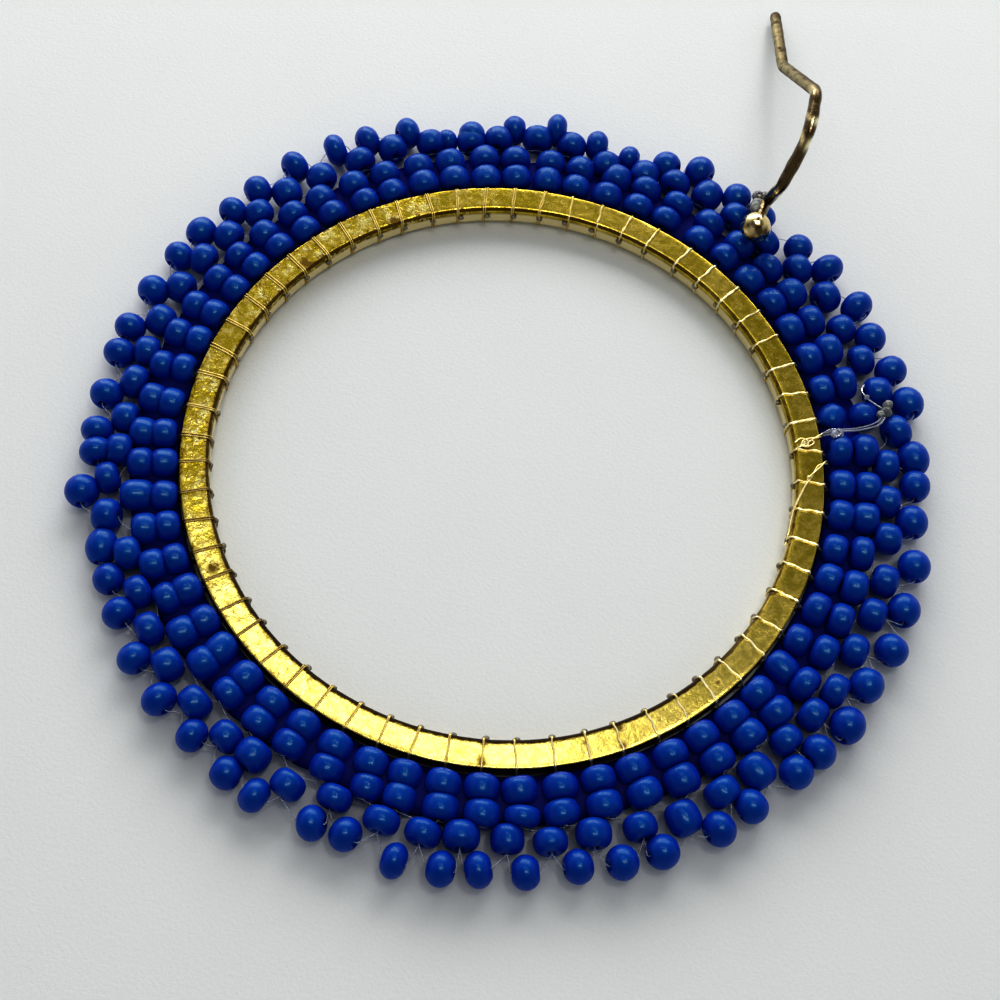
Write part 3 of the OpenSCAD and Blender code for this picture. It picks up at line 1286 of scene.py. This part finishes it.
    def bumps(self, hoop: Hoop, columns: np.ndarray) -> Surface:
        """A small lump of thread on the hoop's inner face at each wrap, as a short spindle.

        Args:
            hoop: the hoop that they lie on.
            columns: the angles of the columns of beads.

        Returns:
            The surface of all lumps.
        """
        rng = np.random.default_rng(22)
        half, thick, height = self.bump
        along = np.linspace(-1.0, 1.0, 9)[None, :]
        degrees = self.stitches(columns)[:, None] + 0.2 + rng.normal(0.0, 0.15, (COLUMNS, 1)) + half * along
        bulge = 1.0 - along ** 2
        size = rng.uniform(0.7, 1.15, (COLUMNS, 1))
        radius = hoop.outer - hoop.width - 0.02 - 0.09 * size * bulge
        paths = around(radius, degrees, height + 0.05 * size * along)
        return strands(paths, 0.02 + thick * size * np.sqrt(bulge), UP, 8)

    def core(self) -> Surface:
        """The bundle of thread that ties the first two rows together, as a flat closed cord painted dark blue
        as the shade between the beads.

        Returns:
            The cord's surface.
        """
        (radius, height), (wide, high) = self.core_place, self.core_size
        turn = np.linspace(0.0, 360.0, 480, endpoint=False)
        scallop = np.cos(np.radians((turn - 6.0) * COLUMNS))
        wave = np.sin(np.radians(turn * 7.0)) + np.sin(np.radians(turn * 17.0 + 40.0))
        path = around(radius + 0.03 * wave + 0.05 * scallop, turn, height)
        return strands(path[None], wide + 0.05 * scallop, UP, 14, Closing.RING, high + 0.02 * wave)

    def loops(self, count: int, *knots: np.ndarray) -> Surface:
        """Loops of that many points through knots, each an array with a row for a loop."""
        return strands(curve(np.stack(knots, 1), count), self.thickness / 2.0, UP, self.sides)

    def row_loops(self, second: Layout, third: Layout) -> Surface:
        """The thread between the second row's beads, on which the third row's beads hang.

        Args:
            second: where the second row's beads are.
            third: where the third row's beads are.

        Returns:
            The surface of all loops.
        """
        start, out = second.middle, second.end
        stop, out_next = np.roll(start, -1, 0), np.roll(out, -1, 0)
        dip = third.middle - third.end * 0.95 - 0.25 * UP
        return self.loops(21, start + out * self.inside, start + out * self.rim, dip,
                          stop + out_next * self.rim, stop + out_next * self.inside)

    def edging_loops(self, third: Layout, edging: Layout) -> Surface:
        """The thread that leaves a third row bead, passes an edging bead and enters the next one.

        Args:
            third: where the third row's beads are.
            edging: where the edging's beads are.

        Returns:
            The surface of all loops.
        """
        parts = []
        for side, shift in ((-1.0, 1), (1.0, 0)):
            bead, bore = np.roll(third.middle, shift, 0), np.roll(third.end, shift, 0)
            into = side * edging.end
            hole = edging.middle + into
            halfway = (bead + bore * 1.1 + hole + into * 0.08) / 2.0
            parts.append(self.loops(19, bead + bore * 0.5, bead + bore * self.rim, halfway,
                                    hole + into * 0.06, hole - into * self.inside))
        return joined(parts)

    def build(self, bench: Bench, hoop: Hoop, layouts: dict[str, Layout]) -> None:
        """Makes the thread's pieces round the hoop and the beads.

        Args:
            bench: what puts the pieces in the scene.
            hoop: the hoop that the thread wraps.
            layouts: where each round's beads are, from the hoop outwards.
        """
        first, second, third, edging = layouts.values()
        nylon, golden = ClearNylon().material(), GoldenNylon().material()
        dull = ClearNylon((0.42, 0.38, 0.30), (0.26, 0.23, 0.18)).material()
        for name, surface, material in (
                ("hoop_wraps", self.wraps(hoop, first.angle), golden),
                ("wrap_bumps", self.bumps(hoop, first.angle), dull),
                # A cord painted dark blue as the shade between the beads.
                ("shaded_thread_core", self.core(), ShadedNylon().material()),
                ("row_loops", self.row_loops(second, third), nylon),
                ("edging_loops", self.edging_loops(third, edging), nylon)):
            bench.piece(name, surface, material, Slot.THREAD)


@dataclass
class Fastening:
    """The thread's two ends on the right: strands over the hoop, knots, and a drop of glue.

    Attributes:
        over_hoop, pale: the strands and knots on the hoop, and how pale they are painted, as a highlight.
        through_beads: the tangle beside the hoop, and the strands from there to the glue.
        drop: the hardened drop between the third row and the edging.
    """

    over_hoop: tuple[Union[Strand, Lump], ...] = (
        Strand(0.125, ((18.12, -10.0, 0.9), (18.1, -7.0, 1.2), (18.12, -3.5, 1.45), (18.35, -1.0, 1.6),
            (18.7, 2.0, 1.64), (19.0, 4.1, 1.68), (19.7, 6.3, 1.64), (20.15, 7.8, 1.5), (20.4, 8.3, 1.0))),
        Strand(0.125, ((18.14, -9.0, 0.8), (18.08, -6.0, 1.1), (18.14, -2.8, 1.46), (18.45, 0.2, 1.61),
            (18.8, 2.6, 1.7), (19.1, 3.9, 1.64), (19.6, 6.6, 1.66), (20.2, 7.4, 1.45), (20.4, 7.7, 1.0))),
        Strand(0.125, ((20.4, 13.2, 1.4), (20.0, 12.9, 1.64), (19.4, 11.9, 1.7), (18.9, 11.0, 1.72),
            (18.5, 10.5, 1.66), (18.2, 10.2, 1.4), (18.1, 10.1, 0.9))),
        Strand(0.125, ((20.3, 13.4, 1.3), (19.9, 12.4, 1.66), (19.3, 12.3, 1.66), (18.8, 11.7, 1.74),
            (18.7, 10.8, 1.68), (19.1, 10.6, 1.7), (19.5, 11.3, 1.68), (19.3, 12.0, 1.74))),
        Strand(0.125, ((18.3, 11.6, 1.62), (18.7, 12.3, 1.7), (19.1, 11.6, 1.76), (19.0, 10.7, 1.7),
            (18.6, 10.9, 1.72))),
        Lump((19.0, 4.0, 1.64), (0.16, 0.17, 0.12), 0.6, 3),
        Lump((18.95, 11.3, 1.65), (0.2, 0.2, 0.12), 0.6, 4))
    through_beads: tuple[Union[Strand, Lump], ...] = (
        Strand(0.11, ((20.1, 13.1, 1.6), (20.5, 13.3, 1.95), (20.9, 13.2, 2.1), (21.2, 12.4, 2.15),
            (20.9, 11.8, 2.1), (20.6, 12.2, 2.0), (20.9, 12.9, 2.1), (21.3, 12.9, 2.1))),
        Strand(0.11, ((20.2, 12.8, 1.6), (20.7, 12.5, 2.05), (21.1, 13.2, 2.15), (21.3, 12.2, 2.1),
            (21.0, 11.6, 1.95))),
        Strand(0.125, ((20.2, 13.3, 1.5), (21.0, 12.9, 2.0), (22.4, 12.8, 2.1), (23.7, 13.5, 2.1),
            (24.3, 14.8, 2.0))),
        Strand(0.1, ((20.3, 13.6, 1.4), (21.1, 13.3, 1.95), (22.4, 13.3, 2.0), (23.6, 14.0, 2.05),
            (24.3, 15.4, 2.0))),
        Strand(0.11, ((24.2, 16.4, 2.0), (23.8, 17.4, 2.0), (23.45, 18.5, 2.0), (23.35, 20.0, 1.9),
            (23.7, 21.0, 1.7))),
        Lump((23.5, 18.6, 2.0), (0.16, 0.16, 0.16), 0.2, 11),
        Lump((20.9, 12.5, 2.05), (0.2, 0.26, 0.13), 0.7, 12))
    drop: tuple[Lump, ...] = (Lump((24.5, 15.9, 1.85), (0.42, 0.36, 0.4), 0.4, 7),
                              Lump((24.05, 15.4, 2.0), (0.25, 0.22, 0.2), 0.4, 8),
                              Lump((24.75, 17.0, 1.9), (0.34, 0.3, 0.3), 0.4, 9))
    pale: float = 0.65

    def build(self, bench: Bench) -> None:
        """Makes the knots, the strands and the glue.

        Args:
            bench: what puts the pieces in the scene.
        """
        over, through, drop = (joined([part.surface() for part in parts])
                               for parts in (self.over_hoop, self.through_beads, self.drop))
        # The strands and knots on the hoop are painted pale, as a highlight.
        over.toned(pale=self.pale)
        grey = ClearNylon((0.60, 0.62, 0.70), (0.42, 0.44, 0.52)).material()
        bench.piece("strand_over_hoop", over, GoldenNylon().material(), Slot.THREAD)
        bench.piece("strand_between_beads", through, grey, Slot.THREAD)
        bench.piece("glue_drop", drop, ClearGlue().material(), Slot.GLUE)


@dataclass(frozen=True)
class Bend:
    """A straight stretch of wire and the bend after it, outwards when the angle is positive."""

    straight: float
    angle: float
    radius: float


@dataclass
class EarWire:
    """The ear wire: a bent hook with an eye at its foot and a ball on its front end.

    Attributes:
        wire, flattened: the wire's diameter, and its width where it is hammered.
        hammered: the lengths from the foot at which the hammering begins, is full, begins to
            end and has ended.
        bends, tail: the wire's bends from its foot on, and the straight length after them.
        lean: how far the arch leans sideways, in degrees.
        turn: how far its plane is turned about the upright, in degrees.
        ball, eye, eye_wire: the diameters of the ball, of the eye's middle and of its wire.
        cut_end: the end of the eye's wire.
        patch: the glue between the ball and the eye.
        glints: where painted highlights lie on the arch: the length from the foot, and the reach.
        ball_dark_reflections: the ball's painted dark reflections: the direction from its middle, and the
            reach.
        sides: points round the wire.
    """

    wire: float = 0.79
    flattened: float = 1.0
    hammered: tuple[float, float, float, float] = (0.8, 2.8, 8.3, 9.2)
    bends: tuple[Bend, ...] = (Bend(1.6, 33, 1.6), Bend(1.7, 50, 3.4), Bend(1.3, 48, 1.2),
                               Bend(7.4, -22, 1.5))
    tail: float = 6.6
    lean: float = 18.0
    turn: float = -2.0
    ball: float = 2.0
    foot: Place = (25.767, 54.9, 2.35)
    ball_place: Place = (23.2, 52.4, 3.18)
    eye_place: Place = (25.887, 56.0, 1.25)
    eye: float = 1.8
    eye_wire: float = 0.6
    cut_end: Lump = Lump((25.74, 56.3, 2.5), (0.4, 0.38, 0.36), 0.12, 6)
    patch: tuple[Lump, ...] = (Lump((24.6, 55.1, 2.85), (0.36, 0.42, 0.32), 0.3, 5),
                               Lump((25.3, 55.6, 2.45), (0.38, 0.42, 0.34), 0.3, 10))
    glints: tuple[tuple[float, float], ...] = ((5.7, 0.30), (7.1, 0.20), (2.0, 0.3))
    ball_dark_reflections: tuple[tuple[float, float, float, float], ...] = (
        (0.05, -0.50, 0.87, 0.22), (0.10, -0.75, 0.65, 0.30), (0.62, -0.62, 0.48, 0.35),
        (-0.62, -0.40, 0.68, 0.28), (-0.20, -0.95, 0.20, 0.30))
    sides: int = 24

    def flat_path(self) -> np.ndarray:
        """The wire's middle line in the plane of its arch, as (n, 2) outwards and upwards.

        Each bend is an arc whose centre lies square to the heading, at the bend's radius.

        Returns:
            The middle line, from the foot to the tip.
        """
        place, heading = np.zeros(2), math.pi / 2.0
        path = [place[None]]
        for bend in self.bends:
            ahead = np.array([math.cos(heading), math.sin(heading)])
            side = math.copysign(1.0, bend.angle) * np.array([math.sin(heading), -math.cos(heading)])
            along = np.linspace(0.0, bend.straight, 12)[1:]
            path.append(place + along[:, None] * ahead)
            place = place + bend.straight * ahead
            arc = np.linspace(0.0, math.radians(abs(bend.angle)), 14)[1:, None]
            path.append(place + bend.radius * (side * (1.0 - np.cos(arc)) + ahead * np.sin(arc)))
            place = path[-1][-1]
            heading -= math.radians(bend.angle)
        ahead = np.array([math.cos(heading), math.sin(heading)])
        path.append(place + np.linspace(0.0, self.tail, 30)[1:, None] * ahead)
        return np.concatenate(path)

    def raised(self, flat: np.ndarray) -> tuple[np.ndarray, np.ndarray]:
        """The flat path stood up at the foot, leaned and turned.

        Args:
            flat: the path in the plane of the arch.

        Returns:
            The path as (n, 3), and the direction square to the arch's plane.
        """
        lean, turn = math.radians(self.lean), math.radians(self.turn)
        out = np.array([-math.sin(turn), math.cos(turn), 0.0])
        side = np.array([math.cos(turn), math.sin(turn), 0.0])
        up = UP * math.cos(lean) + side * math.sin(lean)
        path = around(*self.foot) + flat[:, :1] * out + flat[:, 1:] * up
        return path, np.cross(out, up)

    def hook(self) -> Surface:
        """The wire along its path, hammered wider over its arch, with a rounded tip.

        It is painted dark along its two sides and over its arch, as shade, with painted highlights at the
        glints, and it is darker near its foot and at its tip.

        Returns:
            The wire's surface, with the tones that its brass reads.
        """
        path, square = self.raised(self.flat_path())
        length = np.concatenate([[0.0], np.cumsum(np.linalg.norm(np.diff(path, axis=0), axis=1))])
        whole, r, (begin, full, fade, over) = length[-1], self.wire / 2.0, self.hammered
        arch = ramp(length, begin, full) * ramp(length, over, fade)
        uneven = 1.0 + (0.015 + 0.03 * arch) * np.sin(length * 2.1) + 0.02 * np.sin(length * 5.3 + 1.0)
        tip = np.sqrt(np.clip(1.0 - ramp(length, whole - r, whole) ** 2, 0.06, 1.0))
        thick = r * uneven * tip
        wide = thick * (1.0 + (self.flattened / self.wire - 1.0) * arch)
        turn = np.arange(self.sides)[None, :] * TURN / self.sides
        ends = np.exp(-length / 0.7) + bell(whole - length, 0.8)
        tail = ramp(length / whole, 0.45, 0.55)[:, None]
        # Painted shade on the two sides and over the arch, broken by painted highlights at the glints.
        edges = np.clip(1.9 * np.abs(np.cos(turn)) - 0.7, 0.0, 1.0) * (1.0 - 0.25 * tail)
        slanted = length[:, None] - 0.5 * np.cos(turn)
        glints = sum(bell(slanted - at, reach) for at, reach in self.glints)
        dark = np.maximum(edges, 1.1 * arch[:, None]) * (1.0 - 0.9 * glints) + 0.9 * ends[:, None]
        rubbed = glints * np.clip(np.cos(turn - 1.9), 0.0, 1.0) ** 0.5
        return strands(path[None], wide[None], square, self.sides, heights=thick[None]).toned(
            tone=length / whole, rubbed=rubbed, dark=np.clip(dark, 0.0, 1.0))

    def stem(self) -> Surface:
        """The dark wire from inside the ball to the foot, with a rounded elbow.

        Returns:
            The stem's surface.
        """
        ball, foot = around(*self.ball_place), around(*self.foot)
        path, _ = self.raised(self.flat_path()[:4])
        knots = np.stack([ball, ball * 0.6 + foot * 0.4, ball * 0.22 + foot * 0.78 + 0.02 * UP,
                          foot + 0.12 * UP, path[3]])
        side = np.array([1.0, 0.0, 0.3])
        return strands(curve(knots[None], 30), self.wire / 2.0, side, self.sides).toned(dark=0.85)

    def ring(self) -> Surface:
        """The eye: a small ring of thinner wire that stands across the edge.

        Returns:
            The ring's surface.
        """
        turn = np.linspace(0.0, TURN, 40, endpoint=False)
        r, angle, height = self.eye_place
        path = around(r + self.eye / 2.0 * np.cos(turn), angle, height + self.eye / 2.0 * np.sin(turn))
        return strands(path[None], self.eye_wire / 2.0, around(1.0, angle + 90.0, 0.0), 16, Closing.RING)

    def build(self, bench: Bench, finish: WireBrass, glue: ClearGlue) -> None:
        """Makes the ear wire's pieces in place of its CAD node.

        Args:
            bench: what puts the pieces in the scene.
            finish: the wire's brass.
            glue: the glue by the eye.
        """
        brass, steel = finish.material(), GreySteel().material()
        r = self.ball / 2.0
        ball = Lump(self.ball_place, (r, r, r), 0.0, 1, 40, 48).surface()
        # The ball's dark marks are painted reflections, round given directions from its middle.
        facing = unit(ball.points - around(*self.ball_place))
        marks = sum(bell_of(facing - mark[:3], mark[3]) for mark in self.ball_dark_reflections)
        made = [
            bench.piece("ear_hook", self.hook(), brass, Slot.WIRE),
            bench.piece("ear_stem", self.stem(), brass, Slot.WIRE),
            bench.piece("ear_ball", ball.toned(dark=np.clip(marks, 0.0, 1.0)), brass, Slot.WIRE),
            bench.piece("ear_eye", joined([self.ring(), self.cut_end.surface()]), steel, Slot.WIRE),
            bench.piece("eye_glue", joined([part.surface() for part in self.patch]), glue.material(),
                        Slot.GLUE),
        ]
        for piece in made:
            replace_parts(piece, "ear_wire")


@dataclass(frozen=True)
class Panel:
    """A flat soft light, square to the line to the hoop's middle.

    Attributes:
        name, place, size, tint: its name, its middle, its width and height, and its colour.
        radiance: how bright it looks; its power is that times pi times its area.
        only_seen: whether it is only seen in what is polished, and lights nothing else.
    """

    name: str
    place: tuple[float, float, float]
    size: tuple[float, float]
    radiance: float
    tint: Colour = (1.0, 1.0, 1.0)
    only_seen: bool = False

    def build(self, bench: Bench) -> None:
        """Makes the light.

        Args:
            bench: what knows where the hoop's axis is.
        """
        data = bpy.data.lights.new(self.name, "AREA")
        data.shape = "RECTANGLE"
        data.size, data.size_y = self.size[0] * MM, self.size[1] * MM
        data.energy = self.radiance * math.pi * data.size * data.size_y
        data.color = self.tint
        back = unit(np.array(self.place, float))
        x = unit(np.cross([0.0, 1.0, 0.0], back))
        place = np.array(self.place) * MM + bench.origin()
        made = stand(self.name, data, (x, np.cross(back, x), back), place)
        made.visible_diffuse = not self.only_seen


@dataclass
class Studio:
    """The floor, the lights and the camera.

    Attributes:
        camera_place: the camera, in millimetres from the middle of the hoop's top face.
        camera_tilt: its tilt from looking straight down, in degrees.
        camera_roll: its turn about its own line of sight, in degrees.
        lens, sensor: its focal length and the width of its sensor.
        near_sky: the room's light on the near side.
        far_sky, left_sky, low_sky: how much more there is on the far side, on its left, and
            low down.
        far, left, low: where each of those begins and where it is full, as a part of the
            direction along Y, X and Z.
    """

    camera_place: tuple[float, float, float] = (0.084, -44.752, 88.555)
    camera_tilt: float = 25.137
    camera_roll: float = -8.3135
    lens: float = 57.6
    sensor: float = 36.0
    panels: tuple[Panel, ...] = (
        Panel("key", (150.0, 80.0, 640.0), (90.0, 90.0), 10.0),
        Panel("window", (-50.0, 380.0, 190.0), (540.0, 230.0), 4.0),
        Panel("gleam", (-32.0, 74.5, 300.0), (126.0, 53.0), 3.0, (0.97, 1.0, 0.95), True),
        Panel("glint", (60.0, -90.0, 640.0), (330.0, 130.0), 10.0, only_seen=True),
    )
    look: str = "High Contrast"
    near_sky: float = 0.085
    far_sky: float = 0.09
    left_sky: float = 0.17
    low_sky: float = 0.30
    far: tuple[float, float] = (-0.05, 0.40)
    left: tuple[float, float] = (0.20, -0.06)
    low: tuple[float, float] = (0.80, 0.62)
    floor_size: float = 900.0

    def camera(self, bench: Bench, hoop: Hoop) -> None:
        """Sets the camera: tilted forwards, then rolled about its line of sight.

        Args:
            bench: what knows where the hoop's axis is.
            hoop: the hoop that it looks at.
        """
        tilt, roll = math.radians(self.camera_tilt), math.radians(self.camera_roll)
        ahead = np.array([0.0, math.sin(tilt), -math.cos(tilt)])
        right = np.array([1.0, 0.0, 0.0])
        down = np.cross(ahead, right)
        x = math.cos(roll) * right + math.sin(roll) * down
        y = math.sin(roll) * right - math.cos(roll) * down
        place = (np.array(self.camera_place) + [0.0, 0.0, hoop.top]) * MM + bench.origin()
        data = bpy.data.cameras.new("camera")
        data.lens, data.sensor_width = self.lens, self.sensor
        data.clip_start, data.clip_end = 0.005, 20.0
        bpy.context.scene.camera = stand("camera", data, (x, y, -ahead), place)

    def sky(self) -> bpy.types.World:
        """The room's soft light: brighter low down, and overhead on the far side, most on its left.

        Returns:
            The world that holds the light.
        """
        world = bpy.data.worlds.new("soft_room")
        world.use_nodes = True
        s = Shader("soft_room", world.node_tree)
        ray = s.node("ShaderNodeSeparateXYZ", {}, {"Vector": s.node("ShaderNodeTexCoord")["Generated"]})
        far, left, low = ray["Y"].step(*self.far), ray["X"].step(*self.left), ray["Z"].step(*self.low)
        strength = self.near_sky + far * (self.far_sky + left * self.left_sky) + low * self.low_sky
        light = s.node("ShaderNodeBackground", {}, {"Color": (0.97, 1.0, 1.0, 1.0), "Strength": strength})
        s.node("ShaderNodeOutputWorld", {}, {"Surface": light["Background"]})
        return world

    def build(self, bench: Bench, hoop: Hoop, finish: PaleFloor) -> None:
        """Makes the stage.

        Args:
            bench: what puts the pieces in the scene.
            hoop: the hoop that the camera looks at.
            finish: the floor's.
        """
        bpy.context.scene.view_settings.view_transform = "Standard"
        bpy.context.scene.view_settings.look = self.look
        bpy.context.scene.world = self.sky()
        for panel in self.panels:
            panel.build(bench)
        half = self.floor_size / 2.0
        corners = np.array([(-half, -half, 0.0), (half, -half, 0.0), (half, half, 0.0), (-half, half, 0.0)])
        floor = bench.piece("floor", Surface(corners, [np.arange(4)[None]]), finish.material(), None)
        self.camera(bench, hoop)


def main() -> None:
    """Builds the earring and its stage, in order."""
    logging.basicConfig(level=logging.INFO, format="%(name)s: %(message)s")
    bench = Bench(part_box("hoop"))
    hoop, stitching = Hoop(), Stitching()
    layouts = Beadwork().build(bench, CobaltGlass())
    hoop.build(bench, PlatedGold(), stitching.stitches(layouts["bead_row_1"].angle))
    stitching.build(bench, hoop, layouts)
    Fastening().build(bench)
    EarWire().build(bench, WireBrass(), ClearGlue())
    Studio().build(bench, hoop, PaleFloor())


if __name__ == "__main__":
    main()
